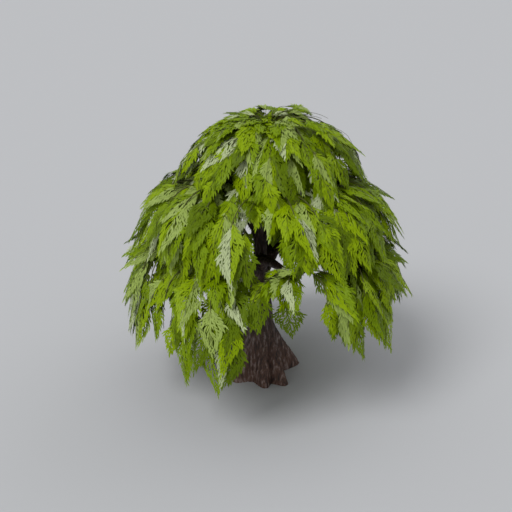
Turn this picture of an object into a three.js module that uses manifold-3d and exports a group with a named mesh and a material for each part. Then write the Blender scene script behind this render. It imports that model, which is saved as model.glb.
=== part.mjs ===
// A weeping willow, rooted in level ground: a trunk with a wide fluted root flare, arching boughs, and a
// bell-shaped crown of hanging foliage in three tiers, whose skirt parts at the front.
// Millimetres and degrees. +Z is up, -Y is the front, and the origin is the middle of the trunk's flat
// cut at ground level. Azimuth 0 is +X, and 90 is +Y.
import * as THREE from "three";
import Module from "manifold-3d";

const wasm = await Module();
wasm.setup();

// Clearance between solids that meet.
const GAP = 0.3;

// ---- Trunk ----------------------------------------------------------------------------------------
const TRUNK_TOP = 8500;
// The line that the trunk's middle follows, from the ground to the tip inside the crown.
const TRUNK_LINE = new THREE.CatmullRomCurve3([
  new THREE.Vector3(0, 0, 0),
  new THREE.Vector3(150, 20, 2100),
  new THREE.Vector3(40, 0, 3800),
  new THREE.Vector3(90, 20, 5600),
  new THREE.Vector3(-60, 0, TRUNK_TOP),
]);
// Radius of the bole at heights on the way up: core at the ground, neck, fork, leader, tip.
const BOLE = [
  [0, 700],
  [1100, 520],
  [2200, 400],
  [3600, 370],
  [4500, 235],
  [6000, 190],
  [TRUNK_TOP, 65],
];
const TRUNK_LEVELS = [0, 450, 1000, 1600, 2200, 3600, 4500, 6000, 7200, TRUNK_TOP];
// Each root of the flare: its azimuth, and how far from the middle it meets the ground.
const ROOTS = [
  [-143, 1150],
  [-76, 1150],
  [-40, 1400],
  [25, 1750],
  [88, 1500],
  [150, 2000],
];
const FLARE_HEIGHT = 2200;
const FLARE_CURVE = 1.35;
const ROOT_HALF_WIDTH = 17;
// Points round a section, as degrees to each side of every root's crest.
const CREST_STEPS = [-14, 0, 14];

// ---- Crown ----------------------------------------------------------------------------------------
// The crown's own axis stands a little to the right of the trunk's foot.
const CROWN_AXIS = new THREE.Vector3(260, 0, 0);
// Leaves face away from this height on the axis.
const CROWN_EYE = 3500;
// The crown's tiers are parted by cones that fall away outwards: the height of each on the axis, and
// its fall for each millimetre out.
const TOP_FLOOR = { height: 8500, fall: 0.22 };
const UPPER_FLOOR = { height: 7400, fall: 0.4 };
// Each tier of foliage. A mass keeps to its arc of its own tier. boughTip is where its bough ends, as
// [distance from the axis, height]. meridian is the line of a hanging withe in the same terms, from the
// stem over the shoulder and down, as four Bezier points. swell carries the withes on the right further
// up and out.
const TOP = {
  floor: TOP_FLOOR,
  meridian: [
    [60, 9400],
    [900, 9950],
    [2050, 9450],
    [2500, 8300],
  ],
  withes: 10,
  arc: 360,
  swell: 200,
};
const UPPER = {
  ceiling: TOP_FLOOR,
  floor: UPPER_FLOOR,
  boughTip: [1300, 6850],
  meridian: [
    [1500, 7450],
    [2500, 8300],
    [3700, 7650],
    [4000, 6350],
  ],
  withes: 4,
  arc: 60,
};
const LOWER = {
  ceiling: UPPER_FLOOR,
  boughTip: [2500, 5250],
  meridian: [
    [3000, 5500],
    [4000, 5950],
    [4500, 5400],
    [4500, 3600],
  ],
  withes: 4,
  arc: 45,
};

// ---- Boughs ---------------------------------------------------------------------------------------
// from is the limb that a bough leaves, and at is the height on the trunk or the share of the other
// limb's length. rise is the steepness at its start. lifts raise the ends of the withes in its mass of
// foliage, and null leaves one out, where the skirt parts.
const BOUGHS = [
  {
    name: "lower_front",
    tier: LOWER,
    azimuth: -74.5,
    from: "trunk",
    at: 4500,
    rise: 38,
    lifts: [1900, 1500, null, 800, 400],
  },
  { name: "lower_right_front", tier: LOWER, azimuth: -29.5, from: "trunk", at: 3350, rise: 10 },
  { name: "lower_right_back", tier: LOWER, azimuth: 15.5, from: "lower_right_front", at: 0.34, rise: 30 },
  { name: "lower_back_right", tier: LOWER, azimuth: 60.5, from: "trunk", at: 3750, rise: 45 },
  { name: "lower_back_left", tier: LOWER, azimuth: 105.5, from: "lower_back_right", at: 0.34, rise: 40 },
  { name: "lower_left_back", tier: LOWER, azimuth: 150.5, from: "lower_left", at: 0.36, rise: 40 },
  { name: "lower_left", tier: LOWER, azimuth: 195.5, from: "trunk", at: 3400, rise: 58 },
  { name: "lower_front_left", tier: LOWER, azimuth: 240.5, from: "trunk", at: 3950, rise: 50 },
  {
    name: "upper_front",
    tier: UPPER,
    azimuth: -85,
    from: "trunk",
    at: 5900,
    rise: 55,
    lifts: [0, null, 100, 0],
  },
  { name: "upper_right_front", tier: UPPER, azimuth: -25, from: "trunk", at: 5300, rise: 55 },
  { name: "upper_right_back", tier: UPPER, azimuth: 35, from: "trunk", at: 6200, rise: 55 },
  { name: "upper_back", tier: UPPER, azimuth: 95, from: "trunk", at: 5600, rise: 55 },
  { name: "upper_left_back", tier: UPPER, azimuth: 155, from: "trunk", at: 5150, rise: 60 },
  { name: "upper_left_front", tier: UPPER, azimuth: 215, from: "trunk", at: 5700, rise: 55 },
];
// Radii at the base and tip of a bough off the trunk low down, of one off another bough, and of one
// off the leader.
const BOUGH_RADII = { main: [215, 75], side: [150, 65], upper: [120, 50] };
// How steeply every bough comes to its tip, and how far its bends reach, as a share of its span.
const TIP_RISE = 18;
const BEND = 0.38;
const BOUGH_SIDES = 7;
const BOUGH_RINGS = 6;

// ---- Foliage --------------------------------------------------------------------------------------
const STEM_RADII = [48, 36];
const STEM_RINGS = 3;
const WITHE_RADII = [44, 34];
const WITHE_RINGS = 4;
// Withes leave the stem along this stretch of it. Each is turned from its place by up to half of sway,
// ends up to half of fray higher or lower, and is drawn in by a share of its lift.
const WITHE_STARTS = [0.6, 0.98];
const SWAY = 3;
const FRAY = 500;
const DRAWN_IN = 0.25;
// A leaf here stands for a hanging spray of leaves: a folded kite of eight faces.
const SPRAY = {
  length: 1560,
  width: 920,
  widest: 0.4,
  fold: 110,
  thickness: 34,
  sink: 5,
  spacing: 500,
};
// How far a spray stands off its withe: sideways, outwards and down, and how far it rolls.
const SPREAD = { side: [14, 26], out: [0.3, 0.42], droop: 0.45, roll: 16 };
const SIZE_RANGE = { length: [0.82, 1.12], width: [0.8, 1.15] };
// Sprays are tried at these sizes, each leaning to one side, to the other and hardly at all, until one
// fits its mass's own space.
const FITS = [1, 0.82, 0.64];
const LEANS = [1, -1, 0.25];
const SPACE_MARGIN = 25;
const LIMB_MARGIN = 45;

// ---- Materials ------------------------------------------------------------------------------------
const bark = new THREE.MeshStandardMaterial({ color: 0x3a2a1f, roughness: 0.85, metalness: 0 });
const leaf = new THREE.MeshStandardMaterial({ color: 0x66800b, roughness: 0.5, metalness: 0 });

// ---- Helpers --------------------------------------------------------------------------------------
const radians = THREE.MathUtils.degToRad;

// Repeatable random numbers from 0 to 1, their own run for each seed.
function randomFrom(seed) {
  let state = ((seed + 1) * 2654435761) % 4294967296;
  return () => {
    state = (state * 1664525 + 1013904223) % 4294967296;
    return state / 4294967296;
  };
}

const between = ([low, high], share) => low + (high - low) * share;

// A point at a distance from the crown's axis, a height and an azimuth.
function crownPoint([distance, height], azimuth) {
  const turn = radians(azimuth);
  return new THREE.Vector3(distance * Math.cos(turn), distance * Math.sin(turn), height).add(CROWN_AXIS);
}

// A direction at an azimuth and an angle above the level.
function direction(azimuth, rise) {
  const turn = radians(azimuth);
  const level = Math.cos(radians(rise));
  return new THREE.Vector3(level * Math.cos(turn), level * Math.sin(turn), Math.sin(radians(rise)));
}

// The closed surface through rings of points, each ring with the same number of points.
function loft(rings) {
  const sides = rings[0].length;
  const points = rings.flat();
  const faces = [];
  for (let ring = 0; ring + 1 < rings.length; ring++) {
    for (let side = 0; side < sides; side++) {
      const a = ring * sides + side;
      const b = ring * sides + ((side + 1) % sides);
      faces.push(a, b, b + sides, a, b + sides, a + sides);
    }
  }
  const last = points.length - sides;
  for (let side = 1; side + 1 < sides; side++) {
    faces.push(0, side + 1, side, last, last + side, last + side + 1);
  }
  return new THREE.BufferGeometry().setFromPoints(points).setIndex(faces);
}

function solidOf(geometry) {
  return new wasm.Manifold(
    new wasm.Mesh({
      numProp: 3,
      vertProperties: new Float32Array(geometry.attributes.position.array),
      triVerts: new Uint32Array(geometry.index.array),
    }),
  );
}

function geometryOf(solid) {
  const mesh = solid.getMesh();
  const positions = new THREE.BufferAttribute(new Float32Array(mesh.vertProperties), 3);
  const made = new THREE.BufferGeometry();
  made.setAttribute("position", positions);
  made.setIndex(new THREE.BufferAttribute(new Uint32Array(mesh.triVerts), 1));
  return made;
}

// The largest of a solid's separate bodies.
function mainBody(solid) {
  return solid.decompose().sort((a, b) => b.volume() - a.volume())[0];
}

// ---- Limbs ----------------------------------------------------------------------------------------
// Round sections along a curve, from one radius to another, with frames that don't twist.
function limbRings(curve, radii, sides, rings, grow = 0) {
  const { normals, binormals } = curve.computeFrenetFrames(rings - 1);
  return Array.from({ length: rings }, (_, ring) => {
    const share = ring / (rings - 1);
    const middle = curve.getPointAt(share);
    const radius = between(radii, share) + grow;
    return Array.from({ length: sides }, (_, side) => {
      const turn = (2 * Math.PI * side) / sides;
      return middle
        .clone()
        .addScaledVector(normals[ring], radius * Math.cos(turn))
        .addScaledVector(binormals[ring], radius * Math.sin(turn));
    });
  });
}

function boleRadius(height) {
  const above = Math.max(1, BOLE.findIndex(([level]) => level >= height));
  const [[low, wide], [high, narrow]] = [BOLE[above - 1], BOLE[above]];
  return between([wide, narrow], (height - low) / (high - low));
}

// The trunk's radius at a height and azimuth: the bole, and the nearest root's crest running out of it.
function trunkRadius(height, azimuth) {
  const bole = boleRadius(height);
  const flare = Math.max(0, 1 - height / FLARE_HEIGHT) ** FLARE_CURVE;
  const crests = ROOTS.map(([root, reach]) => {
    const away = ((azimuth - root + 540) % 360) - 180;
    return (reach - bole) * flare * Math.exp(-((away / ROOT_HALF_WIDTH) ** 2));
  });
  return bole + Math.max(...crests);
}

// The trunk's middle at a height.
function trunkMiddle(height) {
  let [low, high] = [0, 1];
  while (high - low > 1e-7) {
    const share = (low + high) / 2;
    if (TRUNK_LINE.getPoint(share).z < height) low = share;
    else high = share;
  }
  return TRUNK_LINE.getPoint(high).setZ(height);
}

function trunkSolid(grow = 0) {
  const azimuths = ROOTS.flatMap(([root], index) => {
    const next = index + 1 < ROOTS.length ? ROOTS[index + 1][0] : ROOTS[0][0] + 360;
    return [...CREST_STEPS.map((step) => root + step), (root + next) / 2];
  });
  const rings = TRUNK_LEVELS.map((height) => {
    const middle = trunkMiddle(height);
    return azimuths.map((azimuth) => {
      const turn = radians(azimuth);
      const radius = trunkRadius(height, azimuth) + grow;
      return new THREE.Vector3(radius * Math.cos(turn), radius * Math.sin(turn), 0).add(middle);
    });
  });
  return solidOf(loft(rings));
}

// The limb of each name: a curve along its middle, and its radii at the ends.
const limbs = new Map();

function growBough(bough) {
  const tip = crownPoint(bough.tier.boughTip, bough.azimuth);
  const parent = limbs.get(bough.from);
  const start = parent ? parent.curve.getPoint(bough.at) : trunkMiddle(bough.at);
  const reach = start.distanceTo(tip) * BEND;
  const curve = new THREE.CubicBezierCurve3(
    start,
    start.clone().addScaledVector(direction(bough.azimuth, bough.rise), reach),
    tip.clone().addScaledVector(direction(bough.azimuth, TIP_RISE), -reach),
    tip,
  );
  const size = parent ? "side" : bough.tier === UPPER ? "upper" : "main";
  limbs.set(bough.name, { curve, radii: BOUGH_RADII[size] });
}

function boughSolid(name, grow = 0) {
  const { curve, radii } = limbs.get(name);
  return solidOf(loft(limbRings(curve, radii, BOUGH_SIDES, BOUGH_RINGS, grow)));
}

// ---- Foliage --------------------------------------------------------------------------------------
// Points along the middle of every limb, with the radius there, that foliage keeps clear of.
function limbPoints() {
  const points = [];
  for (let height = 0; height <= TRUNK_TOP; height += 100) {
    points.push({ middle: trunkMiddle(height), radius: boleRadius(height) });
  }
  for (const { curve, radii } of limbs.values()) {
    for (let step = 0; step <= 40; step++) {
      points.push({ middle: curve.getPoint(step / 40), radius: between(radii, step / 40) });
    }
  }
  return points;
}

const coneHeight = ({ height, fall }, distance) => height - fall * distance;

// Whether a point is inside a mass's arc of its tier, with a margin.
function inOwnSpace(point, { tier, azimuth }) {
  const fromAxis = point.clone().sub(CROWN_AXIS);
  const distance = Math.hypot(fromAxis.x, fromAxis.y);
  if (tier.floor && point.z < coneHeight(tier.floor, distance) + SPACE_MARGIN) return false;
  if (tier.ceiling && point.z > coneHeight(tier.ceiling, distance) - SPACE_MARGIN) return false;
  if (tier.arc === 360) return true;
  return [-1, 1].every((side) => {
    const inward = direction(azimuth + side * (tier.arc / 2 - 90), 0);
    return fromAxis.dot(inward) > SPACE_MARGIN;
  });
}

function clearOfLimbs(points, obstacles) {
  return obstacles.every(({ middle, radius }) =>
    points.every((point) => point.distanceTo(middle) > radius + LIMB_MARGIN),
  );
}

// The place on a withe's straight stretches at a share of its length, and unit vectors there along it,
// out of the crown and across.
function witheFrame(curve, share) {
  const stretches = WITHE_RINGS - 1;
  const stretch = Math.min(Math.floor(share * stretches), stretches - 1);
  const [from, to] = [stretch, stretch + 1].map((ring) => curve.getPointAt(ring / stretches));
  const point = from.lerp(to, share * stretches - stretch);
  const along = curve.getTangentAt(share);
  const out = point.clone().sub(new THREE.Vector3(0, 0, CROWN_EYE).add(CROWN_AXIS));
  out.addScaledVector(along, -out.dot(along)).normalize();
  return { point, along, out, across: along.clone().cross(out) };
}

// A withe has three sides, and one of them faces out.
function witheSolid(curve) {
  const rings = Array.from({ length: WITHE_RINGS }, (_, ring) => {
    const share = ring / (WITHE_RINGS - 1);
    const { point, out, across } = witheFrame(curve, share);
    const radius = between(WITHE_RADII, share);
    return [60, 180, 300].map((turn) =>
      point
        .clone()
        .addScaledVector(out, radius * Math.cos(radians(turn)))
        .addScaledVector(across, radius * Math.sin(radians(turn))),
    );
  });
  return solidOf(loft(rings));
}

// The six corners of a spray that leaves a withe on one side: base, tip, two sides, and the fold's
// upper and lower face.
function sprayCorners(frame, side, size, random) {
  const swing = radians(between(SPREAD.side, random())) * side;
  const aim = frame.along
    .clone()
    .multiplyScalar(Math.cos(swing))
    .addScaledVector(frame.across, Math.sin(swing))
    .addScaledVector(frame.out, between(SPREAD.out, random()));
  aim.z -= SPREAD.droop;
  aim.normalize();
  const roll = radians((2 * random() - 1) * SPREAD.roll);
  const face = frame.out.clone().addScaledVector(aim, -frame.out.dot(aim)).normalize();
  face.applyAxisAngle(aim, roll);
  const wing = face.clone().cross(aim);
  const length = SPRAY.length * size * between(SIZE_RANGE.length, random());
  const width = SPRAY.width * size * between(SIZE_RANGE.width, random());
  const at = (along, sideways, up) =>
    frame.point
      .clone()
      .addScaledVector(aim, along)
      .addScaledVector(wing, sideways)
      .addScaledVector(face, up);
  const ridge = SPRAY.fold * size;
  const widest = length * SPRAY.widest;
  return [
    at(-SPRAY.sink, 0, 0),
    at(length, 0, 0),
    at(widest, -width / 2, 0),
    at(widest, width / 2, 0),
    at(widest, 0, ridge + SPRAY.thickness / 2),
    at(widest, 0, ridge - SPRAY.thickness / 2),
  ];
}

const SPRAY_FACES = [0, 2, 4, 2, 1, 4, 1, 3, 4, 3, 0, 4, 2, 0, 5, 1, 2, 5, 3, 1, 5, 0, 3, 5];

function boxesMeet(one, other) {
  return [0, 1, 2].every((axis) => one.min[axis] < other.max[axis] && other.min[axis] < one.max[axis]);
}

// Whether a solid would run through any of the others.
function crosses(solid, others) {
  const box = solid.boundingBox();
  return others.some((other) => boxesMeet(box, other.box) && !solid.intersect(other.solid).isEmpty());
}

// The first spray that keeps to the mass's space, clear of the limbs and the sprays already there.
function fittingSpray(frame, side, mass, obstacles, sprays, random) {
  for (const size of FITS) {
    for (const lean of LEANS) {
      const corners = sprayCorners(frame, lean * side, size, random);
      if (!corners.every((corner) => inOwnSpace(corner, mass))) continue;
      if (!clearOfLimbs(corners, obstacles)) continue;
      const solid = solidOf(new THREE.BufferGeometry().setFromPoints(corners).setIndex(SPRAY_FACES));
      if (!crosses(solid, sprays)) return solid;
    }
  }
  return null;
}

// One mass of foliage: a stem from the bough's tip, withes that hang from it, and sprays along them.
function growMass(mass, obstacles) {
  const random = randomFrom(mass.seed);
  const { tier, azimuth, root, heading } = mass;
  const lifts = mass.lifts ?? Array(tier.withes).fill(0);
  const crest = crownPoint(tier.meridian[0], azimuth);
  const start = root.clone().addScaledVector(heading, GAP);
  const stem = new THREE.QuadraticBezierCurve3(
    start,
    start.clone().addScaledVector(heading, start.distanceTo(crest) / 2),
    crest,
  );
  const pieces = [solidOf(loft(limbRings(stem, STEM_RADII, 3, STEM_RINGS)))];
  const sprays = [];
  const [, shoulder, side, hem] = tier.meridian;
  lifts.forEach((lift, index) => {
    if (lift === null) return;
    const offset = ((index + 0.5) / lifts.length - 0.5) * tier.arc + (random() - 0.5) * SWAY;
    const level = lift + (random() - 0.5) * FRAY;
    const swell = (tier.swell ?? 0) * Math.max(0, Math.cos(radians(azimuth + offset)));
    const withe = new THREE.CubicBezierCurve3(
      stem.getPoint(between(WITHE_STARTS, ((index * 3) % lifts.length) / lifts.length)),
      crownPoint(shoulder, azimuth + offset * 0.8),
      crownPoint([side[0] + swell, side[1] + swell + level * 0.12], azimuth + offset),
      crownPoint([hem[0] + swell - lift * DRAWN_IN, hem[1] + swell + level], azimuth + offset),
    );
    pieces.push(witheSolid(withe));
    const length = withe.getLength();
    for (let step = 1; step * SPRAY.spacing < length + SPRAY.spacing / 2; step++) {
      const share = Math.min((step * SPRAY.spacing) / length, 0.985);
      const frame = witheFrame(withe, share);
      const solid = fittingSpray(frame, step % 2 ? 1 : -1, mass, obstacles, sprays, random);
      if (solid) sprays.push({ solid, box: solid.boundingBox() });
    }
  });
  return mainBody(wasm.Manifold.union([...pieces, ...sprays.map(({ solid }) => solid)]));
}

// ---- Assembly -------------------------------------------------------------------------------------
const tree = new THREE.Group();

function addNode(name, solid, material) {
  const mesh = new THREE.Mesh(geometryOf(solid), material);
  mesh.name = name;
  tree.add(mesh);
}

addNode("trunk", trunkSolid(), bark);

// A bough that others leave is grown before them, and each is cut clear of the limbs before it.
const inOrder = [...BOUGHS].sort((a, b) => (a.from !== "trunk") - (b.from !== "trunk"));
let before = trunkSolid(GAP);
for (const bough of inOrder) {
  growBough(bough);
  addNode("bough_" + bough.name, mainBody(boughSolid(bough.name).subtract(before)), bark);
  before = before.add(boughSolid(bough.name, GAP));
}

const masses = BOUGHS.map((bough, index) => {
  const { curve } = limbs.get(bough.name);
  return { ...bough, root: curve.getPoint(1), heading: curve.getTangent(1), seed: index + 1 };
});
masses.push({
  name: "top",
  tier: TOP,
  azimuth: 0,
  root: trunkMiddle(TRUNK_TOP),
  heading: new THREE.Vector3(0, 0, 1),
  seed: 0,
});
const obstacles = limbPoints();
for (const mass of masses) {
  addNode("foliage_" + mass.name, growMass(mass, obstacles), leaf);
}

export default tree;
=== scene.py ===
"""A weeping willow, dressed over its CAD frame: bark with relief, withes, and sprays of narrow leaves.

The crown grows by the same seeded rule as the part's source, so each CAD spray comes back as a spray
of real leaves in the same place. The rule is then carried on to finer withes, shoots and leaves.
Lengths in the rule are millimetres, as in the source, and become metres when a mesh is made.
"""
import math

import bpy
import numpy as np
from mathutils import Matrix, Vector, noise
from mathutils.bvhtree import BVHTree


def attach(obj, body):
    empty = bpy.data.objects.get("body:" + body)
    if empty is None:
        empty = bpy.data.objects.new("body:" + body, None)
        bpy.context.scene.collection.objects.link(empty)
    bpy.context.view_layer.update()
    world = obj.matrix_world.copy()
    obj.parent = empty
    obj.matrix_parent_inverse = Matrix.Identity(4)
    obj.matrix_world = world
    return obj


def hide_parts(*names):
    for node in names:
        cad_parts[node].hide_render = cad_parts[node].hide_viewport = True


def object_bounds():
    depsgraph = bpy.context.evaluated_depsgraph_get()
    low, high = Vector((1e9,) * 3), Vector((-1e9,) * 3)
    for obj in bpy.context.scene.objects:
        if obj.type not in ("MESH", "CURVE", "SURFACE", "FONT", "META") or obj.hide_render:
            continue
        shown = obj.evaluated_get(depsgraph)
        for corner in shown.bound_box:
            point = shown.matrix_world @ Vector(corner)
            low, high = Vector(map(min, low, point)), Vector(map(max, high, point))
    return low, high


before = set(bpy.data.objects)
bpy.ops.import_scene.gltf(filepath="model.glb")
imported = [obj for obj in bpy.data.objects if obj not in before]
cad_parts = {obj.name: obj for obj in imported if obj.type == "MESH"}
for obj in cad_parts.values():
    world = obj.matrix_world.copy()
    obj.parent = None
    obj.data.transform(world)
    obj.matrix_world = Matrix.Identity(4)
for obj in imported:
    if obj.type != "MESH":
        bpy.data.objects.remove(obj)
CAD_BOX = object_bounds()
MM = 0.001

# ---- Camera ---------------------------------------------------------------------------------------
VIEW = {"target": (-0.075, 0.0, 4.76), "distance": 25.0, "elevation": 23.0, "lens": 50.0, "sensor": 36.0}
FAR_CLIP = 2000
RISE = math.radians(VIEW["elevation"])
VIEW_UP = np.array([0, math.sin(RISE), math.cos(RISE)])
VIEW_BACK = np.array([0, -math.cos(RISE), math.sin(RISE)])


def make_camera():
    data = bpy.data.cameras.new("camera")
    data.lens = VIEW["lens"]
    data.sensor_width = VIEW["sensor"]
    data.clip_end = FAR_CLIP
    camera = bpy.data.objects.new("camera", data)
    camera.location = Vector(VIEW["target"]) + Vector(VIEW_BACK) * VIEW["distance"]
    camera.rotation_euler = (math.pi / 2 - RISE, 0, 0)
    bpy.context.scene.collection.objects.link(camera)
    bpy.context.scene.camera = camera


make_camera()

# ---- The source's named sizes ---------------------------------------------------------------------
GAP = 0.3
TRUNK_TOP = 8500
TRUNK_LINE = [(0, 0, 0), (150, 20, 2100), (40, 0, 3800), (90, 20, 5600), (-60, 0, 8500)]
BOLE = [(0, 700), (1100, 520), (2200, 400), (3600, 370), (4500, 235), (6000, 190), (8500, 65)]
ROOTS = [(-143, 1150), (-76, 1150), (-40, 1400), (25, 1750), (88, 1500), (150, 2000)]
FLARE_HEIGHT = 2200
FLARE_CURVE = 1.35
ROOT_HALF_WIDTH = 17
CROWN_AXIS = np.array([260.0, 0, 0])
CROWN_EYE = 3500
TOP_FLOOR = (8500, 0.22)
UPPER_FLOOR = (7400, 0.4)
TOP = {
    "floor": TOP_FLOOR,
    "meridian": [(60, 9400), (900, 9950), (2050, 9450), (2500, 8300)],
    "withes": 10,
    "arc": 360,
    "swell": 200,
}
UPPER = {
    "ceiling": TOP_FLOOR,
    "floor": UPPER_FLOOR,
    "bough_tip": (1300, 6850),
    "meridian": [(1500, 7450), (2500, 8300), (3700, 7650), (4000, 6350)],
    "withes": 4,
    "arc": 60,
}
LOWER = {
    "ceiling": UPPER_FLOOR,
    "bough_tip": (2500, 5250),
    "meridian": [(3000, 5500), (4000, 5950), (4500, 5400), (4500, 3600)],
    "withes": 4,
    "arc": 45,
}
BOUGHS = [
    ("lower_front", LOWER, -74.5, "trunk", 4500, 38, [1900, 1500, None, 800, 400]),
    ("lower_right_front", LOWER, -29.5, "trunk", 3350, 10, None),
    ("lower_right_back", LOWER, 15.5, "lower_right_front", 0.34, 30, None),
    ("lower_back_right", LOWER, 60.5, "trunk", 3750, 45, None),
    ("lower_back_left", LOWER, 105.5, "lower_back_right", 0.34, 40, None),
    ("lower_left_back", LOWER, 150.5, "lower_left", 0.36, 40, None),
    ("lower_left", LOWER, 195.5, "trunk", 3400, 58, None),
    ("lower_front_left", LOWER, 240.5, "trunk", 3950, 50, None),
    ("upper_front", UPPER, -85, "trunk", 5900, 55, [0, None, 100, 0]),
    ("upper_right_front", UPPER, -25, "trunk", 5300, 55, None),
    ("upper_right_back", UPPER, 35, "trunk", 6200, 55, None),
    ("upper_back", UPPER, 95, "trunk", 5600, 55, None),
    ("upper_left_back", UPPER, 155, "trunk", 5150, 60, None),
    ("upper_left_front", UPPER, 215, "trunk", 5700, 55, None),
]
BOUGH_RADII = {"main": (215, 75), "side": (150, 65), "upper": (120, 50)}
TIP_RISE = 18
BEND = 0.38
WITHE_RINGS = 4
WITHE_STARTS = (0.6, 0.98)
LAST_SPRAY = 0.985
SWAY = 3
FRAY = 500
DRAWN_IN = 0.25
SPRAY = {"length": 1560, "width": 920, "widest": 0.4, "fold": 110, "thickness": 34, "sink": 5}
SPACING = 500
SPREAD = {"side": (14, 26), "out": (0.3, 0.42), "droop": 0.45, "roll": 16}
SIZE_RANGE = {"length": (0.82, 1.12), "width": (0.8, 1.15)}
FITS = (1, 0.82, 0.64)
LEANS = (1, -1, 0.25)
SPACE_MARGIN = 25
LIMB_MARGIN = 45
# How far a withe's shoulder follows its own azimuth, and how far its side follows its level.
SHOULDER_TURN = 0.8
SIDE_LEVEL = 0.12
# How many points stand for the trunk's middle line.
TRUNK_SAMPLES = 801
# Sprays keep clear of points this far apart up the trunk, and of this many steps along each bough.
TRUNK_STEP = 100
BOUGH_STEPS = 40


# ---- The source's helpers -------------------------------------------------------------------------
def random_from(seed):
    state = ((seed + 1) * 2654435761) % 4294967296

    def draw():
        nonlocal state
        state = (state * 1664525 + 1013904223) % 4294967296
        return state / 4294967296

    return draw


def between(ends, share):
    return ends[0] + (ends[1] - ends[0]) * share


def unit(vector):
    return vector / np.linalg.norm(vector)


def crown_point(place, azimuth):
    turn = math.radians(azimuth)
    across = np.array([math.cos(turn), math.sin(turn), 0]) * place[0]
    return CROWN_AXIS + across + np.array([0, 0, place[1]])


def direction(azimuth, rise):
    turn = math.radians(azimuth)
    level = math.cos(math.radians(rise))
    return np.array([level * math.cos(turn), level * math.sin(turn), math.sin(math.radians(rise))])


class Bezier:
    """A Bezier curve between its end points, with shares of its length."""

    STEPS = 200
    NEAR = 1e-4

    def __init__(self, *controls):
        self.controls = [np.asarray(point, float) for point in controls]
        shares = np.arange(self.STEPS + 1) / self.STEPS
        steps = np.linalg.norm(np.diff(self.points(shares), axis=0), axis=1)
        self.shares = shares
        self.lengths = np.concatenate([[0], np.cumsum(steps)])

    def points(self, shares):
        shares = np.atleast_1d(shares)[:, None]
        degree = len(self.controls) - 1
        return sum(
            math.comb(degree, index) * shares**index * (1 - shares) ** (degree - index) * point
            for index, point in enumerate(self.controls)
        )

    def point(self, share):
        return self.points(share)[0]

    @property
    def length(self):
        return self.lengths[-1]

    def share_at(self, along):
        return np.interp(np.asarray(along) * self.length, self.lengths, self.shares)

    def point_at(self, along):
        return self.point(self.share_at(along))

    def tangent(self, share):
        return unit(self.point(min(share + self.NEAR, 1)) - self.point(max(share - self.NEAR, 0)))

    def tangent_at(self, along):
        return self.tangent(self.share_at(along))


# ---- Limbs ----------------------------------------------------------------------------------------
def trunk_line(share):
    """A centripetal Catmull-Rom curve through TRUNK_LINE."""
    points = [np.array(point, float) for point in TRUNK_LINE]
    last = len(points) - 1
    place = last * share
    index = min(int(place), last - 1)
    weight = place - index
    start, end = points[index], points[index + 1]
    before = points[index - 1] if index > 0 else 2 * start - end
    after = points[index + 2] if index + 2 <= last else 2 * end - start
    lead, run, trail = (
        np.linalg.norm(far - near) ** 0.5
        for near, far in ((before, start), (start, end), (end, after))
    )
    leave = ((start - before) / lead - (end - before) / (lead + run) + (end - start) / run) * run
    arrive = ((end - start) / run - (after - start) / (run + trail) + (after - end) / trail) * run
    square = -3 * start + 3 * end - 2 * leave - arrive
    cube = 2 * start - 2 * end + leave + arrive
    return start + leave * weight + square * weight**2 + cube * weight**3


TRUNK_POINTS = np.array([trunk_line(share) for share in np.linspace(0, 1, TRUNK_SAMPLES)])


def trunk_middle(height):
    x, y = (np.interp(height, TRUNK_POINTS[:, 2], TRUNK_POINTS[:, axis]) for axis in (0, 1))
    return np.array([x, y, height])


def bole_radius(height):
    return np.interp(height, *zip(*BOLE))


def trunk_radius(height, azimuth):
    bole = bole_radius(height)
    flare = max(0.0, 1 - height / FLARE_HEIGHT) ** FLARE_CURVE
    crests = [
        (reach - bole) * flare * math.exp(-((((azimuth - root + 540) % 360 - 180) / ROOT_HALF_WIDTH) ** 2))
        for root, reach in ROOTS
    ]
    return bole + max(crests)


limbs = {}


def grow_bough(name, tier, azimuth, parent, at, rise):
    tip = crown_point(tier["bough_tip"], azimuth)
    start = limbs[parent][0].point(at) if parent in limbs else trunk_middle(at)
    reach = np.linalg.norm(tip - start) * BEND
    curve = Bezier(
        start,
        start + direction(azimuth, rise) * reach,
        tip - direction(azimuth, TIP_RISE) * reach,
        tip,
    )
    size = "side" if parent in limbs else "upper" if tier is UPPER else "main"
    limbs[name] = (curve, BOUGH_RADII[size])


# A bough on another bough grows after it, as in the source.
BOUGHS_IN_TURN = sorted(BOUGHS, key=lambda bough: bough[3] != "trunk")
for bough in BOUGHS_IN_TURN:
    grow_bough(*bough[:6])


def limb_points():
    """Points on the middle lines of the trunk and boughs, with their radii."""
    heights = np.arange(0, TRUNK_TOP + 1, TRUNK_STEP)
    middles = [trunk_middle(height) for height in heights]
    radii = [bole_radius(height) for height in heights]
    for name, *_ in BOUGHS_IN_TURN:
        curve, ends = limbs[name]
        for share in np.arange(BOUGH_STEPS + 1) / BOUGH_STEPS:
            middles.append(curve.point(share))
            radii.append(between(ends, share))
    return np.array(middles), np.array(radii)


LIMB_MIDDLES, LIMB_RADII = limb_points()


# ---- The foliage rule, as in the source -----------------------------------------------------------
def in_own_space(points, tier, azimuth, margin=SPACE_MARGIN):
    """Whether points keep between a mass's floor, ceiling and two side planes, by a margin."""
    points = np.asarray(points)
    away = points - CROWN_AXIS
    distance = np.hypot(away[:, 0], away[:, 1])
    for key, sign in (("floor", 1), ("ceiling", -1)):
        if key in tier:
            height, fall = tier[key]
            if np.any(sign * (points[:, 2] - (height - fall * distance)) < margin):
                return False
    if tier["arc"] == 360:
        return True
    return all(
        np.all(away @ direction(azimuth + side * (tier["arc"] / 2 - 90), 0) > margin)
        for side in (-1, 1)
    )


def in_reach(points):
    """Whether points keep to the solids' own box."""
    low, high = (np.array(corner) / MM for corner in CAD_BOX)
    return bool(np.all(points > low) and np.all(points < high))


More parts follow.
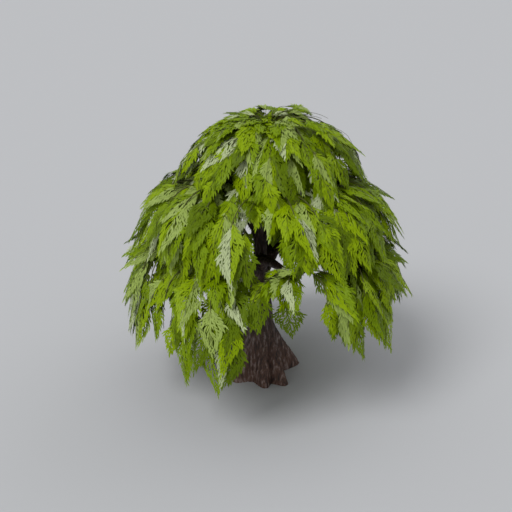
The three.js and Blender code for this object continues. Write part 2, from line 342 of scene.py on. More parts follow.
def clear_of_limbs(points, margin=LIMB_MARGIN):
    gaps = np.linalg.norm(np.asarray(points)[:, None] - LIMB_MIDDLES, axis=2)
    return bool(np.all(gaps > LIMB_RADII + margin))


def withe_frame(curve, share):
    """The place on a withe's straight stretches, and unit vectors along it, out of the crown and across."""
    stretches = WITHE_RINGS - 1
    stretch = min(int(share * stretches), stretches - 1)
    start, end = (curve.point_at(ring / stretches) for ring in (stretch, stretch + 1))
    point = start + (end - start) * (share * stretches - stretch)
    along = curve.tangent_at(share)
    out = point - CROWN_AXIS - np.array([0, 0, CROWN_EYE])
    out = unit(out - along * out.dot(along))
    return point, along, out, np.cross(along, out)


def spray_shape(place, side, size, random, droop=SPREAD["droop"]):
    """A spray's axes and sizes, with the six corners of its folded kite."""
    point, along, out, across = place
    swing = math.radians(between(SPREAD["side"], random())) * side
    aim = along * math.cos(swing) + across * math.sin(swing) + out * between(SPREAD["out"], random())
    aim = unit(aim - np.array([0, 0, droop]))
    roll = math.radians((2 * random() - 1) * SPREAD["roll"])
    face = unit(out - aim * out.dot(aim))
    face = face * math.cos(roll) + np.cross(aim, face) * math.sin(roll)
    wing = np.cross(face, aim)
    length = SPRAY["length"] * size * between(SIZE_RANGE["length"], random())
    width = SPRAY["width"] * size * between(SIZE_RANGE["width"], random())
    ridge = SPRAY["fold"] * size
    widest = length * SPRAY["widest"]
    half = SPRAY["thickness"] / 2
    places = [
        (-SPRAY["sink"], 0, 0),
        (length, 0, 0),
        (widest, -width / 2, 0),
        (widest, width / 2, 0),
        (widest, 0, ridge + half),
        (widest, 0, ridge - half),
    ]
    corners = [point + aim * ahead + wing * aside + face * above for ahead, aside, above in places]
    return {
        "base": point,
        "aim": aim,
        "face": face,
        "wing": wing,
        "length": length,
        "width": width,
        "ridge": ridge,
        "corners": np.array(corners),
    }


SPRAY_FACES = [(0, 2, 4), (2, 1, 4), (1, 3, 4), (3, 0, 4), (2, 0, 5), (1, 2, 5), (3, 1, 5), (0, 3, 5)]


def tree_of(spray):
    return BVHTree.FromPolygons([tuple(corner) for corner in spray["corners"]], SPRAY_FACES)


def crosses(spray, others):
    low, high = spray["corners"].min(axis=0), spray["corners"].max(axis=0)
    tree = None
    for other in others:
        if np.all(low < other["high"]) and np.all(other["low"] < high):
            tree = tree or tree_of(spray)
            if tree.overlap(other["tree"]):
                return True
    return False


def keep(spray, sprays):
    spray["low"], spray["high"] = spray["corners"].min(axis=0), spray["corners"].max(axis=0)
    spray["tree"] = tree_of(spray)
    sprays.append(spray)


def fitting_spray(place, side, mass, sprays, random):
    """The first size and lean that keeps clear of the limbs, the other masses and sprays, or nothing."""
    for size in FITS:
        for lean in LEANS:
            spray = spray_shape(place, lean * side, size, random)
            if not in_own_space(spray["corners"], mass["tier"], mass["azimuth"]):
                continue
            if not clear_of_limbs(spray["corners"]):
                continue
            if not crosses(spray, sprays):
                return spray
    return None


def withe_curve(stem, tier, azimuth, start, offset, lift, level):
    _, shoulder, side, hem = tier["meridian"]
    swell = tier.get("swell", 0) * max(0, math.cos(math.radians(azimuth + offset)))
    return Bezier(
        stem.point(start),
        crown_point(shoulder, azimuth + offset * SHOULDER_TURN),
        crown_point((side[0] + swell, side[1] + swell + level * SIDE_LEVEL), azimuth + offset),
        crown_point((hem[0] + swell - lift * DRAWN_IN, hem[1] + swell + level), azimuth + offset),
    )


def grow_mass(mass):
    """The source's stem, withes and sprays of one mass."""
    random = random_from(mass["seed"])
    tier, azimuth = mass["tier"], mass["azimuth"]
    lifts = mass["lifts"] or [0] * tier["withes"]
    crest = crown_point(tier["meridian"][0], azimuth)
    start = mass["root"] + mass["heading"] * GAP
    reach = np.linalg.norm(crest - start) / 2
    stem = Bezier(start, start + mass["heading"] * reach, crest)
    withes, sprays = [], []
    for index, lift in enumerate(lifts):
        if lift is None:
            continue
        offset = ((index + 0.5) / len(lifts) - 0.5) * tier["arc"] + (random() - 0.5) * SWAY
        level = lift + (random() - 0.5) * FRAY
        begin = between(WITHE_STARTS, ((index * 3) % len(lifts)) / len(lifts))
        curve = withe_curve(stem, tier, azimuth, begin, offset, lift, level)
        withes.append(curve)
        step = 1
        while step * SPACING < curve.length + SPACING / 2:
            share = min(step * SPACING / curve.length, LAST_SPRAY)
            spray = fitting_spray(withe_frame(curve, share), 1 if step % 2 else -1, mass, sprays, random)
            if spray:
                spray["outer"] = True
                keep(spray, sprays)
            step += 1
    return stem, withes, sprays


# ---- The rule carried on: finer withes between and under the source's ------------------------------
# Each row of finer withes: its meridian, as in a tier, how far its hem is lifted, the size of its
# sprays, their spacing and how much they droop. By turns, rows hang between the source's own withes and
# in line with them. The second row lies inside the crown, under the source's withes. The later rows
# close the neck above and the space under the tier before, and the top's last two round the crest.
FINER = {
    "top": [
        ([(60, 9400), (840, 9860), (1990, 9360), (2440, 8210)], 60, 0.7, 380, 0.85),
        ([(60, 9400), (400, 9690), (1550, 9190), (2000, 8040)], 120, 0.65, 430, 0.85),
        ([(60, 9400), (500, 9650), (1100, 9600), (1600, 9200)], 0, 0.6, 300, 0.5),
        ([(60, 9400), (1400, 9600), (2700, 9000), (2900, 8100)], 100, 0.6, 400, 0.85),
        ([(60, 9400), (250, 9780), (1150, 9820), (1800, 9250)], 0, 0.55, 240, 0.25),
        ([(60, 9400), (60, 9750), (500, 9850), (1000, 9650)], 0, 0.42, 190, 0.2),
    ],
    "upper": [
        ([(1500, 7450), (2440, 8210), (3640, 7560), (3940, 6260)], 60, 0.7, 380, 0.85),
        ([(1500, 7450), (2070, 8000), (3270, 7350), (3570, 6050)], 200, 0.65, 430, 0.85),
        ([(1500, 7450), (1500, 8200), (2300, 8150), (2900, 7400)], 0, 0.65, 380, 0.85),
        ([(1500, 7450), (1000, 8000), (1500, 8050), (2000, 7300)], 0, 0.6, 330, 0.85),
    ],
    "lower": [
        ([(3000, 5500), (3940, 5870), (4440, 5320), (4440, 3520)], 300, 0.7, 400, 0.85),
        ([(3000, 5500), (3550, 5690), (4050, 5140), (4050, 3340)], 800, 0.65, 460, 0.85),
        ([(3000, 5500), (2800, 6100), (3500, 5900), (3900, 5000)], 0, 0.6, 380, 0.85),
        ([(3000, 5500), (2300, 6000), (2900, 5900), (3400, 5000)], 0, 0.6, 350, 0.85),
    ],
}

FINER_SEED = 500
FINER_FRAY = {"top": 500, "upper": 700, "lower": 1300}
FINER_LEANS = (1, -1, 0.2)
FINER_LIMB_MARGIN = 20
# A finer withe that would come this near to the end of its mass's arc, in withes, goes near the arc's
# start instead.
ARC_END = {"near": 0.3, "instead": 0.12}
# How far a finer spray may hang into the next mass's space, so that the tiers don't part.
OVERLAP = 330
# The share of the finer sprays that is left out below a height, so that the hem's blades hang apart.
HEM = {"height": 3900, "thinned": 0.7}
# Where the photo shows sky or the trunk, as seen from the camera: ranges across and up from the target,
# in metres at its distance, and whether the opening goes through the back of the crown too.
OPENINGS = [
    # The window beside the trunk, the slit in front of it, and its foot.
    ((-0.68, -0.08), (0.89, 1.55), True),
    ((-0.24, 0.4), (-0.76, 1.11), False),
    ((0.14, 0.63), (-2.73, -1.52), False),
    ((-0.57, 0.63), (-5, -2.6), False),
    # The gap to the right of the trunk, and the sky under the hem on the right.
    ((1.46, 2.5), (-5, -0.76), True),
    ((0.7, 1.46), (-5, -3.06), True),
    ((2.5, 3.38), (-5, -3.12), True),
    ((3.38, 3.93), (-5, -3.78), True),
    ((3.93, 4.32), (-5, -2.5), True),
    ((4.81, 5.74), (-5, -1.47), True),
    # Between the blades on the left.
    ((-3.81, -3.49), (-0.81, -0.15), True),
    ((-2.22, -1.51), (-1.55, -1.08), True),
    ((-3.32, -2.94), (-2.29, -1.47), True),
    ((-3.9, -3.54), (-5, -2.02), True),
    ((-4.69, -4.04), (-5, -3.12), True),
    ((-3.49, -3.05), (-5, -3.17), True),
    # Beside the humps of the crest.
    ((-2.66, -1.45), (4.68, 5.6), True),
    ((1.9, 2.78), (4.68, 5.6), True),
    ((3.4, 4.32), (4.2, 5.2), True),
]
# Where a spray is tried along its length, and the sizes that it may take to keep out of an opening.
PROBES = (0.2, 0.6, 0.95)
SMALLER = (1, 0.6, 0.4)


def in_opening(spray):
    """Whether a spray would hang in an opening, tried at a few places along it."""
    for along in PROBES:
        point = (spray["base"] + spray["aim"] * spray["length"] * along) * MM - VIEW["target"]
        nearer = VIEW["distance"] / (VIEW["distance"] - point.dot(VIEW_BACK))
        across, up = point[0] * nearer, point.dot(VIEW_UP) * nearer
        for wide, high, through in OPENINGS:
            if wide[0] < across < wide[1] and high[0] < up < high[1] and (through or point[1] < 0):
                return True
    return False


def opened(sprays):
    """The sprays that keep out of the openings, some of them made smaller for it."""
    kept = []
    for spray in sprays:
        for size in SMALLER:
            smaller = {**spray, **{key: spray[key] * size for key in ("length", "width", "ridge")}}
            if not in_opening(smaller):
                kept.append(smaller)
                break
    return kept


def finer_spray(place, side, size, droop, mass, rng):
    """The first of a few leans that keeps to the mass's space and off the limbs, or nothing."""
    for lean in FINER_LEANS:
        spray = spray_shape(place, lean * side, size, rng.random, droop)
        corners = spray["corners"]
        inside = in_own_space(corners, mass["tier"], mass["azimuth"], -OVERLAP) and in_reach(corners)
        if inside and clear_of_limbs(corners, FINER_LIMB_MARGIN):
            return spray
    return None


def finer_growth(mass, stem, sprays):
    """More withes of the same kind, with smaller sprays, which join the mass's own sprays."""
    rng = np.random.default_rng(FINER_SEED + mass["seed"])
    tier, kind, azimuth = mass["tier"], mass["kind"], mass["azimuth"]
    lifts = mass["lifts"] or [0] * tier["withes"]
    withes = []
    for row, (meridian, raised, size, spacing, droop) in enumerate(FINER[kind]):
        for index, lift in enumerate(lifts):
            # Where the skirt parts, the upper tier's neck is closed all the same, and the lower tier
            # has its first row alone.
            if row >= 2 and kind == "upper":
                lift = 0
            if lift is None or (row >= 1 and kind == "lower" and mass["lifts"]):
                continue
            edge = index + (1.0 if row % 2 == 0 else 0.5)
            if tier["arc"] != 360 and edge > len(lifts) - ARC_END["near"]:
                edge = ARC_END["instead"]
            offset = (edge / len(lifts) - 0.5) * tier["arc"] + (rng.random() - 0.5) * SWAY
            level = lift + raised + (rng.random() - 0.5) * FINER_FRAY[kind]
            begin = between(WITHE_STARTS, rng.random())
            curve = withe_curve(stem, {**tier, "meridian": meridian}, azimuth, begin, offset, lift, level)
            withes.append(curve)
            for step in range(1, math.ceil(curve.length / spacing + 0.5)):
                place = withe_frame(curve, min(step * spacing / curve.length, LAST_SPRAY))
                if place[0][2] < HEM["height"] and rng.random() < HEM["thinned"]:
                    continue
                spray = finer_spray(place, 1 if step % 2 else -1, size, droop, mass, rng)
                if spray:
                    # Sprays of the row inside the crown count as inner: deeper tints as painted shade, and
                    # no painted highlight.
                    spray["outer"] = row != 1
                    sprays.append(spray)
    return withes


# ---- Meshes ---------------------------------------------------------------------------------------
def mesh_object(name, points, triangles, materials, picks=None, smooth=False):
    """A mesh from arrays of points in millimetres and of triangles."""
    mesh = bpy.data.meshes.new(name)
    points = np.asarray(points, np.float32) * MM
    triangles = np.asarray(triangles, np.int32)
    mesh.vertices.add(len(points))
    mesh.vertices.foreach_set("co", points.ravel())
    mesh.loops.add(triangles.size)
    mesh.loops.foreach_set("vertex_index", triangles.ravel())
    mesh.polygons.add(len(triangles))
    mesh.polygons.foreach_set("loop_start", np.arange(0, triangles.size, 3, dtype=np.int32))
    mesh.polygons.foreach_set("use_smooth", np.full(len(triangles), smooth))
    if picks is not None:
        mesh.polygons.foreach_set("material_index", np.asarray(picks, np.int32))
    mesh.update(calc_edges=True)
    mesh.validate()
    for material in materials:
        mesh.materials.append(material)
    piece = bpy.data.objects.new(name, mesh)
    bpy.context.scene.collection.objects.link(piece)
    return piece


def tube_faces(rings, sides):
    """Triangles of a tube closed at both ends by a fan."""
    ring, side = np.meshgrid(np.arange(rings - 1), np.arange(sides), indexing="ij")
    here = ring * sides + side
    beside = ring * sides + (side + 1) % sides
    walls = np.stack([here, beside, beside + sides, here, beside + sides, here + sides], axis=-1)
    fan = np.arange(1, sides - 1)
    zero = np.zeros_like(fan)
    last = (rings - 1) * sides
    start = np.stack([zero, fan + 1, fan], axis=-1)
    end = np.stack([zero + last, fan + last, fan + 1 + last], axis=-1)
    return np.concatenate([walls.reshape(-1, 3), start, end])


# A direction that no bough, withe or shoot starts along, from which its first ring is turned.
ASKEW = [0.31, 0.17, 0.93]


def tube_points(middles, radii, sides):
    """Round sections along a line of points, with frames that don't twist."""
    middles = np.asarray(middles)
    along = np.gradient(middles, axis=0)
    along /= np.linalg.norm(along, axis=1)[:, None]
    normal = np.cross(along[0], ASKEW)
    normals = []
    for tangent in along:
        normal = unit(normal - tangent * normal.dot(tangent))
        normals.append(normal)
    normals = np.array(normals)
    binormals = np.cross(along, normals)
    turns = np.arange(sides) * 2 * math.pi / sides
    cosines, sines = np.cos(turns)[None, :, None], np.sin(turns)[None, :, None]
    circle = normals[:, None] * cosines + binormals[:, None] * sines
    radii = np.asarray(radii).reshape(len(middles), -1, 1)
    return middles[:, None] + circle * radii


class Batch:
    """Points and triangles gathered for one joined mesh."""

    def __init__(self):
        self.points, self.triangles, self.picks, self.count = [], [], [], 0

    def add(self, points, triangles, picks=None):
        points = np.asarray(points).reshape(-1, 3)
        self.points.append(points)
        self.triangles.append(np.asarray(triangles) + self.count)
        self.picks.append(np.zeros(len(triangles), int) if picks is None else picks)
        self.count += len(points)

    def object(self, name, materials, smooth=False):
        return mesh_object(
            name,
            np.concatenate(self.points),
            np.concatenate(self.triangles),
            materials,
            np.concatenate(self.picks),
            smooth,
        )


# ---- Leaves ---------------------------------------------------------------------------------------
# A lance leaf, folded on its midrib: along, across and up, in lengths, widths and widths.
LEAF_POINTS = np.array(
    [
        (0, 0, 0),
        (0.27, -0.48, -0.1),
        (0.62, -0.42, -0.16),
        (1, 0, -0.2),
        (0.62, 0.42, -0.16),
        (0.27, 0.48, -0.1),
    ]
)
LEAF_FACES = np.array([(0, 2, 1), (0, 3, 2), (0, 4, 3), (0, 5, 4)])
LEAF = {
    "length": (200, 290),
    "width": (44, 60),
    "spacing": 66,
    "stand_off": (-4, 10),
    # In degrees: how far it points away from its shoot, and how far it is turned and tilted at random.
    "angle": 16,
    "turn": 6,
    "tilt": 3,
    # The least and the most of that angle, as factors.
    "swing": (0.3, 1.7),
}
LEAF_SEED = 100
# How many leaves a shoot has at least, how far they stray from even places and where the last grows.
LEAF_PLACES = {"fewest": 3, "stray": 0.3, "last": 0.97}
# From this share of a shoot on, leaves point almost straight ahead.
SHOOT_TIP = {"from": 0.93, "angle": 0.15}
# Leaves are longest at this share of a shoot, and a whole shoot away they would lose this share of it.
LONGEST = {"at": 0.4, "loss": 0.25}
# The shoots of one spray: where each starts along the ridge, where it ends along the spray, and how far
# out of the middle that end is, as a share of the half width there.
SIDE_SHOOTS = [
    (0.0, 0.24, 0.85),
    (0.03, 0.4, 0.9),
    (0.1, 0.55, 0.9),
    (0.2, 0.68, 0.88),
    (0.32, 0.8, 0.82),
    (0.48, 0.91, 0.7),
]
RIDGE_SHOOT = (0, 1.0, 0.0)
SHOOTS = [RIDGE_SHOOT] + [
    (start, end, side * out)
    for start, end, out in SIDE_SHOOTS
    for side in (-1, 1)
]
# How many points a shoot's length is measured over, and how far ahead its direction is taken.
SHOOT_POINTS = 7
AHEAD = 0.02


def kite_half_width(along):
    """A kite's half width at shares of its length, as a share of the widest."""
    widest = SPRAY["widest"]
    return np.minimum(along / widest, (1 - along) / (1 - widest)).clip(0, 1)


# How far the tip of a level spray sags, as a share of its length.
SAG = 0.22


def on_kite(spray, along, across):
    """Points on a spray's fold at shares along it and across its half width."""
    half = kite_half_width(along)
    sag = SAG * spray["length"] * math.hypot(spray["aim"][0], spray["aim"][1])
    return (
        spray["base"]
        + spray["aim"] * (along * spray["length"])[:, None]
        + spray["wing"] * (across * half * spray["width"] / 2)[:, None]
        + spray["face"] * (spray["ridge"] * half * (1 - np.abs(across)))[:, None]
        - np.array([0, 0, sag]) * (along**2)[:, None]
    )


def shoot_line(spray, shoot, shares):
    """Points along one shoot, which leaves the ridge and bends towards the spray's tip."""
    start, end, out = shoot
    return on_kite(spray, start + (end - start) * shares, out * np.sin(shares * math.pi / 2))


def rows_to_unit(vectors):
    return vectors / np.linalg.norm(vectors, axis=1)[:, None]


def rows_dot(vectors, others):
    return np.sum(vectors * others, axis=1)[:, None]


def turned(vectors, others, angles):
    """Unit vectors turned towards others that are square to them."""
    return vectors * np.cos(angles)[:, None] + others * np.sin(angles)[:, None]


def leaves_of(spray, rng):
    """Where a spray's leaves grow, which way they point and which way they face."""
    bases, aims, faces, lengths, slopes = [], [], [], [], []
    tilt = math.atan2(spray["ridge"], spray["width"] / 2)
    for shoot in SHOOTS:
        run = shoot_line(spray, shoot, np.linspace(0, 1, SHOOT_POINTS))
        size = np.linalg.norm(np.diff(run, axis=0), axis=1).sum()
        count = max(LEAF_PLACES["fewest"], int(size / LEAF["spacing"]))
        strays = rng.uniform(-LEAF_PLACES["stray"], LEAF_PLACES["stray"], count)
        shares = (np.arange(count) + 0.5 + strays) / count * LEAF_PLACES["last"]
        here = shoot_line(spray, shoot, shares)
        ahead = rows_to_unit(shoot_line(spray, shoot, shares + AHEAD) - here)
        side = np.where(np.arange(count) % 2, 1.0, -1.0)
        # The facet under the leaf gives the way that it faces.
        slope = np.full(count, np.sign(shoot[2])) if shoot[2] else side
        normal = spray["face"] * math.cos(tilt) + spray["wing"] * (slope * math.sin(tilt))[:, None]
        normal = rows_to_unit(normal - ahead * rows_dot(normal, ahead))
        angle = np.radians(LEAF["angle"] * rng.uniform(*LEAF["swing"], count)) * side
        angle *= np.where(shares > SHOOT_TIP["from"], SHOOT_TIP["angle"], 1)
        aim = turned(ahead, np.cross(normal, ahead), angle)
        aim = turned(aim, normal, np.radians(rng.normal(0, LEAF["tilt"], count)))
        turn = np.radians(rng.normal(0, LEAF["turn"], count))
        bases.append(here + normal * rng.uniform(*LEAF["stand_off"], count)[:, None])
        aims.append(aim)
        faces.append(turned(normal, np.cross(normal, aim), turn))
        shorter = 1 - LONGEST["loss"] * np.abs(shares - LONGEST["at"])
        lengths.append(rng.uniform(*LEAF["length"], count) * shorter)
        slopes.append(slope)
    return [np.concatenate(values) for values in (bases, aims, faces, lengths, slopes)]


def tints_of(spray, rng):
    """The tint of each half of a spray, left and right of its fold. The right half may be a tint deeper, a
    painted shade, and outer halves that face the key light may take a pale tint, a painted highlight.
    """
    # Inner sprays take mostly the deeper tints, a painted shade.
    tint = rng.choice(len(LEAF_TINTS), p=OUTER_SHARES if spray["outer"] else INNER_SHARES)
    # Painted shade: in some sprays the right half is a tint deeper.
    shade = min(tint + 1, DEEPEST) if rng.random() < SHADED_HALVES else tint
    tints = []
    for side, own in ((-1, tint), (1, shade)):
        normal = unit(spray["face"] + spray["wing"] * side * PAINTED_SHEEN["slant"])
        lit = max(0, normal.dot(PAINTED_SHEEN["towards"])) ** 2
        # Painted highlight: a half that faces the key light may take one of the pale tints.
        painted_sheen = rng.random() < PAINTED_SHEEN["share"] * lit
        highlight_tint = BRIGHT_SHEEN_TINT if rng.random() < PAINTED_SHEEN["brightest"] else SHEEN_TINT
        tints.append(highlight_tint if painted_sheen and spray["outer"] else own)
    return tints


def add_leaves(batch, spray, rng):
    bases, aims, faces, lengths, slopes = leaves_of(spray, rng)
    left, right = tints_of(spray, rng)
    aims = rows_to_unit(aims)
    faces = rows_to_unit(faces - aims * rows_dot(faces, aims))
    across = np.cross(faces, aims)
    widths = rng.uniform(*LEAF["width"], len(lengths))
    points = (
        bases[:, None]
        + aims[:, None] * (LEAF_POINTS[:, 0] * lengths[:, None])[..., None]
        + across[:, None] * (LEAF_POINTS[:, 1] * widths[:, None])[..., None]
        + faces[:, None] * (LEAF_POINTS[:, 2] * widths[:, None])[..., None]
    )
    firsts = np.arange(len(lengths))[:, None, None] * len(LEAF_POINTS)
    triangles = (LEAF_FACES + firsts).reshape(-1, 3)
    batch.add(points, triangles, np.repeat(np.where(slopes > 0, right, left), len(LEAF_FACES)))


SHOOT_SIDES = 3
SHOOT_RADII = (9, 3)
RIDGE_TUBE = {"rings": 4, "end": 1, "girth": 1}
SIDE_TUBE = {"rings": 2, "end": 0.94, "girth": 0.7}
STEM_TUBE = {"radii": (50, 36), "sides": 10, "rings": 10}
WITHE_TUBE = {"radii": (30, 9), "sides": 6, "rings": 14}
FINER_TUBE = {"radii": (14, 5), "sides": 5, "rings": 12}


def add_shoots(batch, spray):
    for index, shoot in enumerate(SHOOTS):
        form = SIDE_TUBE if index else RIDGE_TUBE
        middles = shoot_line(spray, shoot, np.linspace(0, form["end"], form["rings"]))
        radii = np.linspace(*SHOOT_RADII, form["rings"]) * form["girth"]
        batch.add(tube_points(middles, radii, SHOOT_SIDES), tube_faces(form["rings"], SHOOT_SIDES))


def add_withe(batch, curve, radii, sides, rings):
    middles = curve.points(curve.share_at(np.linspace(0, 1, rings)))
    batch.add(tube_points(middles, np.linspace(*radii, rings), sides), tube_faces(rings, sides))


# ---- Materials ------------------------------------------------------------------------------------
def new_material(name):
    material = bpy.data.materials.new(name)
    material.use_nodes = True
    nodes = material.node_tree.nodes
    return material, nodes, material.node_tree.links, nodes["Principled BSDF"]


def linear(colour):
    """A scene-linear colour from display values of 0 to 255."""
    values = []
    for shown in colour:
        share = shown / 255
        values.append(share / 12.92 if share <= 0.04 else ((share + 0.055) / 1.055) ** 2.4)
    return (*values, 1)


def add_bump(nodes, links, shader, height, strength, distance):
    bump = nodes.new("ShaderNodeBump")
    bump.inputs["Strength"].default_value = strength
    bump.inputs["Distance"].default_value = distance
    links.new(height, bump.inputs["Height"])
    links.new(bump.outputs["Normal"], shader.inputs["Normal"])


LEAF_SURFACE = {"specular": 0.12, "grain": 60, "detail": 2, "bump": 0.25, "depth": 0.01}


def leaf_material(name, colour, roughness):
    material, nodes, links, shader = new_material(name)
    shader.inputs["Base Color"].default_value = linear(colour)
    shader.inputs["Roughness"].default_value = roughness
    shader.inputs["Specular IOR Level"].default_value = LEAF_SURFACE["specular"]
    grain = nodes.new("ShaderNodeTexNoise")
    grain.inputs["Scale"].default_value = LEAF_SURFACE["grain"]
    grain.inputs["Detail"].default_value = LEAF_SURFACE["detail"]
    place = nodes.new("ShaderNodeTexCoord")
    links.new(place.outputs["Object"], grain.inputs["Vector"])
    add_bump(nodes, links, shader, grain.outputs["Fac"], LEAF_SURFACE["bump"], LEAF_SURFACE["depth"])
    return material


# Where bark's dark, warm and light tones lie on its grain, and the heights in metres between which the
# base colour's painted light at the foot becomes its painted shade above.
BARK_TONES = (0.36, 0.52, 0.7)
PAINTED_BARK_SHADE = (0.6, 2.6)
BARK_SURFACE = {
    "stretch": 0.22,
    "detail": 6,
    "fineness": 0.62,
    "rough": (0.5, 0.85),
    "bump": 0.5,
    "depth": 0.02,
}


def bark_material(name, dark, warm, light, scale, foot=1.0, above=1.0):
    """Bark in three tones of one long grain, its base colour scaled by height from a painted light at the
    foot of the tree to a painted shade above.
    """
    material, nodes, links, shader = new_material(name)
    place = nodes.new("ShaderNodeTexCoord")
    stretch = nodes.new("ShaderNodeMapping")
    stretch.inputs["Scale"].default_value = (1, 1, BARK_SURFACE["stretch"])
    links.new(place.outputs["Object"], stretch.inputs["Vector"])
    grain = nodes.new("ShaderNodeTexNoise")
    grain.inputs["Scale"].default_value = scale
    grain.inputs["Detail"].default_value = BARK_SURFACE["detail"]
    grain.inputs["Roughness"].default_value = BARK_SURFACE["fineness"]
    links.new(stretch.outputs["Vector"], grain.inputs["Vector"])

    ramp = nodes.new("ShaderNodeValToRGB")
    tones = ramp.color_ramp.elements
    tones[0].position, tones[0].color = BARK_TONES[0], linear(dark)
    tones[1].position, tones[1].color = BARK_TONES[2], linear(light)
    tones.new(BARK_TONES[1]).color = linear(warm)
    links.new(grain.outputs["Fac"], ramp.inputs["Fac"])

    # Painted light and shade: the base colour is scaled by height, by foot at the bottom and by above higher
    # up.
    height = nodes.new("ShaderNodeSeparateXYZ")
    links.new(place.outputs["Object"], height.inputs["Vector"])
    shade = nodes.new("ShaderNodeMapRange")
    shade.inputs["From Min"].default_value = PAINTED_BARK_SHADE[0]
    shade.inputs["From Max"].default_value = PAINTED_BARK_SHADE[1]
    shade.inputs["To Min"].default_value = foot
    shade.inputs["To Max"].default_value = above
    links.new(height.outputs["Z"], shade.inputs["Value"])
    tone = nodes.new("ShaderNodeVectorMath")
    tone.operation = "SCALE"
    links.new(ramp.outputs["Color"], tone.inputs["Vector"])
    links.new(shade.outputs["Result"], tone.inputs["Scale"])
    links.new(tone.outputs["Vector"], shader.inputs["Base Color"])

    rough = nodes.new("ShaderNodeMapRange")
    rough.inputs["To Min"].default_value = BARK_SURFACE["rough"][0]
    rough.inputs["To Max"].default_value = BARK_SURFACE["rough"][1]
    links.new(grain.outputs["Fac"], rough.inputs["Value"])
    links.new(rough.outputs["Result"], shader.inputs["Roughness"])
    add_bump(nodes, links, shader, grain.outputs["Fac"], BARK_SURFACE["bump"], BARK_SURFACE["depth"])
    return material


LEAF_TINTS = [
    leaf_material("leaf_fresh", (134, 160, 0), 0.42),
    leaf_material("leaf_mid", (116, 142, 0), 0.42),
    leaf_material("leaf_deep", (92, 114, 0), 0.44),
    # The last two tints are painted highlights, given only to outer halves that face the key light.
    leaf_material("leaf_sheen", (150, 170, 84), 0.38),
    leaf_material("leaf_bright_sheen", (176, 188, 140), 0.38),
]
DEEPEST, SHEEN_TINT, BRIGHT_SHEEN_TINT = 2, 3, 4
# The shares of sprays that take each tint, and of those that have their right half a tint deeper, a painted
# shade.
OUTER_SHARES = (0.5, 0.38, 0.12, 0, 0)
# Inner sprays, under the outer ones, lean to the deeper tints as painted shade.
INNER_SHARES = (0.14, 0.4, 0.46, 0, 0)
SHADED_HALVES = 0.4
# A painted highlight: how many outer halves take a pale tint where they face the key light, how many of
# those take the brightest tint, how far a half slants from its spray's face, and the way that the palest
# ones face, near the key light's direction.
PAINTED_SHEEN = {"share": 0.27, "brightest": 0.34, "slant": 0.25, "towards": unit(np.array([-0.35, -0.45, 0.8]))}
# The willow's bark is painted a little lighter at the foot and at half its tone higher up: painted light and
# shade.
BARK = bark_material(
    "willow_bark",
    dark=(34, 18, 12),
    warm=(88, 60, 46),
    light=(156, 142, 138),
    scale=9,
    foot=1.12,
    above=0.5,
)
TWIG_BARK = bark_material("withe_bark", dark=(58, 62, 14), warm=(78, 82, 22), light=(104, 106, 40), scale=30)


# ---- Bark -----------------------------------------------------------------------------------------
# Ridges and finer cracks: how many to a metre round the limb and along it, and how strong they are.
RIDGES = {"across": 7, "along": 1.3, "gain": 3.2, "middle": 0.6}
CRACKS = {"across": 19, "along": 4, "gain": 0.3}


def grain_at(point, pattern):
    x, y, z = point * MM
    return noise.noise(Vector((x * pattern["across"], y * pattern["across"], z * pattern["along"])))


def fissures(point, depth):
    """How far the bark stands out at a point in millimetres: long ridges with cracks between them."""
    ridge = min(abs(grain_at(point, RIDGES)) * RIDGES["gain"], 1) - RIDGES["middle"]
    return depth * (ridge + CRACKS["gain"] * grain_at(point, CRACKS))


def bark_piece(name, node, grid, middles, depth):
    """A closed limb of rings of points, roughened away from its middle line."""
    rough = grid.copy()
    for ring in range(grid.shape[0]):
        for side in range(grid.shape[1]):
            point = grid[ring, side]
            rough[ring, side] = point + unit(point - middles[ring]) * fissures(point, depth[ring])
    if node == "trunk":
        # Its foot stays level with the ground.
        rough[0, :, 2] = 0
    piece = mesh_object(name, rough.reshape(-1, 3), tube_faces(*grid.shape[:2]), [BARK], smooth=True)
    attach(piece, "root")
    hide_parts(node)


TRUNK_MESH = {"sides": 180, "rings": 170, "crowding": 1.25}
BOUGH_MESH = {"sides": 28, "rings": 60}
# How deep the bark's relief is: at heights up the trunk, and at a bough's start and tip.
TRUNK_DEPTHS = ((0, 2500, TRUNK_TOP), (34, 24, 6))
BOUGH_DEPTHS = (16, 5)
# A bough is this much thicker where it leaves its parent, over this share of its length.
COLLAR = {"more": 0.45, "share": 0.14}


def trunk_piece():
    """The trunk, with its rings crowded towards the root flare."""
    sides, rings = TRUNK_MESH["sides"], TRUNK_MESH["rings"]
    heights = TRUNK_TOP * np.linspace(0, 1, rings) ** TRUNK_MESH["crowding"]
    azimuths = np.arange(sides) * 360 / sides
    middles = np.array([trunk_middle(height) for height in heights])
    radii = np.array([[trunk_radius(height, azimuth) for azimuth in azimuths] for height in heights])
    turns = np.radians(azimuths)
    circle = np.stack([np.cos(turns), np.sin(turns), np.zeros(sides)], axis=-1)
    grid = middles[:, None] + radii[..., None] * circle
    bark_piece("bark_trunk", "trunk", grid, middles, np.interp(heights, *TRUNK_DEPTHS))


def bough_piece(name):
    curve, radii = limbs[name]
    shares = np.linspace(0, 1, BOUGH_MESH["rings"])
    middles = curve.points(curve.share_at(shares))
    swell = 1 + COLLAR["more"] * np.exp(-((shares / COLLAR["share"]) ** 2))
    grid = tube_points(middles, between(radii, shares) * swell, BOUGH_MESH["sides"])
    bark_piece("bark_" + name, "bough_" + name, grid, middles, between(BOUGH_DEPTHS, shares))


trunk_piece()
for bough in BOUGHS:
    bough_piece(bough[0])


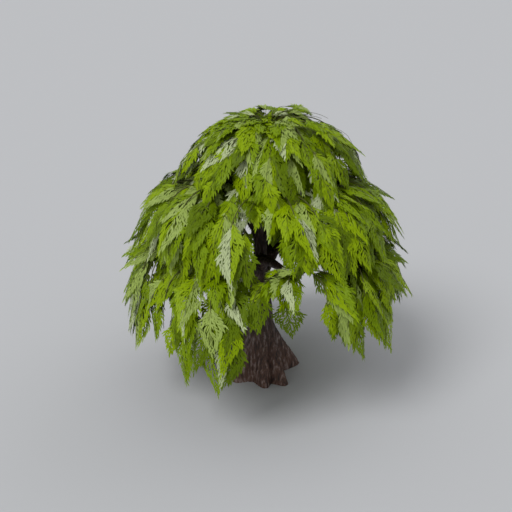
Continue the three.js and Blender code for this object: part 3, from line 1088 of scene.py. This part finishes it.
# ---- Crown ----------------------------------------------------------------------------------------
def all_masses():
    masses = []
    for index, (name, tier, azimuth, _, _, _, lifts) in enumerate(BOUGHS):
        curve = limbs[name][0]
        masses.append(
            {
                "name": name,
                "kind": "upper" if tier is UPPER else "lower",
                "tier": tier,
                "azimuth": azimuth,
                "lifts": lifts,
                "root": curve.point(1),
                "heading": curve.tangent(1),
                "seed": index + 1,
            }
        )
    masses.append(
        {
            "name": "top",
            "kind": "top",
            "tier": TOP,
            "azimuth": 0,
            "lifts": None,
            "root": trunk_middle(TRUNK_TOP),
            "heading": np.array([0.0, 0, 1]),
            "seed": 0,
        }
    )
    return masses


def dress(mass):
    """The leaves and the twigs that stand for one foliage mass."""
    stem, withes, sprays = grow_mass(mass)
    finer = finer_growth(mass, stem, sprays)
    rng = np.random.default_rng(LEAF_SEED + mass["seed"])
    leaf_batch, twig_batch = Batch(), Batch()
    add_withe(twig_batch, stem, **STEM_TUBE)
    for curve in withes:
        add_withe(twig_batch, curve, **WITHE_TUBE)
    for curve in finer:
        add_withe(twig_batch, curve, **FINER_TUBE)
    for spray in opened(sprays):
        add_leaves(leaf_batch, spray, rng)
        add_shoots(twig_batch, spray)
    leaves = leaf_batch.object("leaves_" + mass["name"], LEAF_TINTS)
    twigs = twig_batch.object("twigs_" + mass["name"], [TWIG_BARK], smooth=True)
    for piece, slot in ((leaves, "leaves"), (twigs, "bark")):
        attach(piece, "root")
        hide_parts("foliage_" + mass["name"])


for mass in all_masses():
    dress(mass)


# ---- Floor and light ------------------------------------------------------------------------------
FLOOR = {"size": 400000, "level": -2, "colour": (191, 192, 194), "roughness": 0.9}
WORLD_COLOUR = (190, 191, 193)


def make_floor():
    material, _, _, shader = new_material("floor")
    shader.inputs["Base Color"].default_value = linear(FLOOR["colour"])
    shader.inputs["Roughness"].default_value = FLOOR["roughness"]
    shader.inputs["Specular IOR Level"].default_value = 0
    size, level = FLOOR["size"], FLOOR["level"]
    points = [(-size, -size, level), (size, -size, level), (size, size, level), (-size, size, level)]
    mesh_object("floor", points, [(0, 1, 2), (0, 2, 3)], [material])


def make_world():
    world = bpy.data.worlds.new("studio")
    world.use_nodes = True
    background = world.node_tree.nodes["Background"]
    background.inputs["Color"].default_value = linear(WORLD_COLOUR)
    background.inputs["Strength"].default_value = 1
    bpy.context.scene.world = world


def make_sun(name, azimuth, elevation, strength, angle):
    """A soft sun that shines from an azimuth, 0 at the camera's side and 90 at its right, and a height."""
    data = bpy.data.lights.new(name, "SUN")
    data.energy = strength
    data.angle = math.radians(angle)
    lamp = bpy.data.objects.new(name, data)
    turn, rise = math.radians(azimuth), math.radians(elevation)
    level = math.cos(rise)
    back = Vector((math.sin(turn) * level, -math.cos(turn) * level, math.sin(rise)))
    lamp.rotation_mode = "QUATERNION"
    lamp.rotation_quaternion = (-back).to_track_quat("-Z", "Y")
    bpy.context.scene.collection.objects.link(lamp)


make_floor()
make_world()
make_sun("key", azimuth=-45, elevation=50, strength=1.7, angle=30)
make_sun("fill", azimuth=130, elevation=35, strength=0.3, angle=50)
bpy.context.scene.view_settings.view_transform = "Standard"
